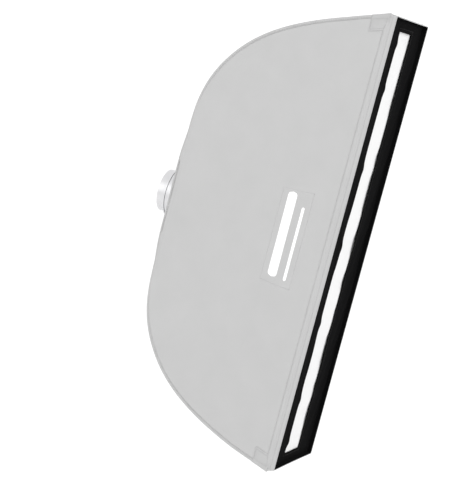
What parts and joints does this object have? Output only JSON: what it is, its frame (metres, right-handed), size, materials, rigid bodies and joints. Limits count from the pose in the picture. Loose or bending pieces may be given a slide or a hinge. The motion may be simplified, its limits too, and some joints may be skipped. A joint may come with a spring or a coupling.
{
  "type": "strip softbox",
  "caption": "Tall narrow fabric light box on four bent rods and a rotating speedring, with a clamping adapter, inner baffle, front diffuser and black strip mask.",
  "frame": {"origin": "centre of the adapter's rear face, where the flash head enters", "axes": "-Y the way the light leaves, +Z along the long side, +X along the short side"},
  "size_m": [0.3102, 0.553, 1.2184],
  "materials": {
    "shell_fabric": "light grey coated nylon, fine plain weave",
    "pocket_fabric": "light grey heavy webbing",
    "label_fabric": "printed patch with plain white bars",
    "black_fabric": "matt black nylon",
    "diffusion_fabric": "white translucent diffusion cloth",
    "ring_metal": "satin anodised",
    "lining_rubber": "matt",
    "steel_hardware": "satin zinc-plated",
    "knob_plastic": "moulded nylon",
    "socket_plastic": "satin",
    "tip_plastic": "moulded",
    "rod_material": "pultruded glass fibre, satin"
  },
  "bodies": {
    "adapter": {"adapter_collar": "ring_metal", "rubber_lining": "lining_rubber", "thrust_ring": "ring_metal", "retaining_ring": "ring_metal", "clamp_nut": "steel_hardware"},
    "softbox": {"baffle_patch_left_bottom": "black_fabric", "baffle_patch_left_top": "black_fabric", "baffle_patch_right_bottom": "black_fabric", "baffle_patch_right_top": "black_fabric", "bottom_end_panel": "shell_fabric", "corner_pocket_left_bottom": "pocket_fabric", "corner_pocket_left_top": "pocket_fabric", "corner_pocket_right_bottom": "pocket_fabric", "corner_pocket_right_top": "pocket_fabric", "diffuser_loop_tape": "black_fabric", "front_lip": "shell_fabric", "label_patch": "label_fabric", "left_side_panel": "shell_fabric", "lip_loop_tape": "black_fabric", "rear_cuff": "shell_fabric", "right_side_panel": "shell_fabric", "rod_left_bottom": "rod_material", "rod_left_top": "rod_material", "rod_right_bottom": "rod_material", "rod_right_top": "rod_material", "rod_socket_left_bottom": "socket_plastic", "rod_socket_left_top": "socket_plastic", "rod_socket_right_bottom": "socket_plastic", "rod_socket_right_top": "socket_plastic", "rod_tip_left_bottom": "tip_plastic", "rod_tip_left_top": "tip_plastic", "rod_tip_right_bottom": "tip_plastic", "rod_tip_right_top": "tip_plastic", "socket_pin_left_bottom": "steel_hardware", "socket_pin_left_top": "steel_hardware", "socket_pin_right_bottom": "steel_hardware", "socket_pin_right_top": "steel_hardware", "speedring": "ring_metal", "top_end_panel": "shell_fabric"},
    "clamp_screw": {"clamp_bolt": "steel_hardware", "clamp_knob": "knob_plastic"},
    "ring_lock": {"lock_screw": "steel_hardware", "lock_knob": "knob_plastic"},
    "baffle": {"inner_baffle": "diffusion_fabric", "baffle_strap_left_bottom": "black_fabric", "baffle_strap_left_top": "black_fabric", "baffle_strap_right_bottom": "black_fabric", "baffle_strap_right_top": "black_fabric"},
    "diffuser": {"front_diffuser": "diffusion_fabric", "diffuser_hook_tape": "diffusion_fabric"},
    "mask": {"strip_mask": "black_fabric", "mask_hook_flap": "black_fabric"}
  },
  "joints": [
    {"name": "ring_spin", "type": "hinge", "parent": "adapter", "child": "softbox", "pos_m": [0, 0, 0], "axis": [0, -1, 0], "continuous": true},
    {"name": "clamp_turn", "type": "hinge", "parent": "adapter", "child": "clamp_screw", "pos_m": [0.068, -0.011, 0], "axis": [0, 0, 1], "range_deg": [0, 720]},
    {"name": "lock_turn", "type": "hinge", "parent": "softbox", "child": "ring_lock", "pos_m": [0.0745, -0.0385, 0], "axis": [1, 0, 0], "range_deg": [0, 720]},
    {"name": "baffle_pull", "type": "slide", "parent": "softbox", "child": "baffle", "axis": [0, -1, 0], "range_m": [0, 0.21]},
    {"name": "diffuser_pull", "type": "slide", "parent": "baffle", "child": "diffuser", "axis": [0, -1, 0], "range_m": [0, 0.1]},
    {"name": "mask_pull", "type": "slide", "parent": "diffuser", "child": "mask", "axis": [0, -1, 0], "range_m": [0, 0.08]}
  ]
}
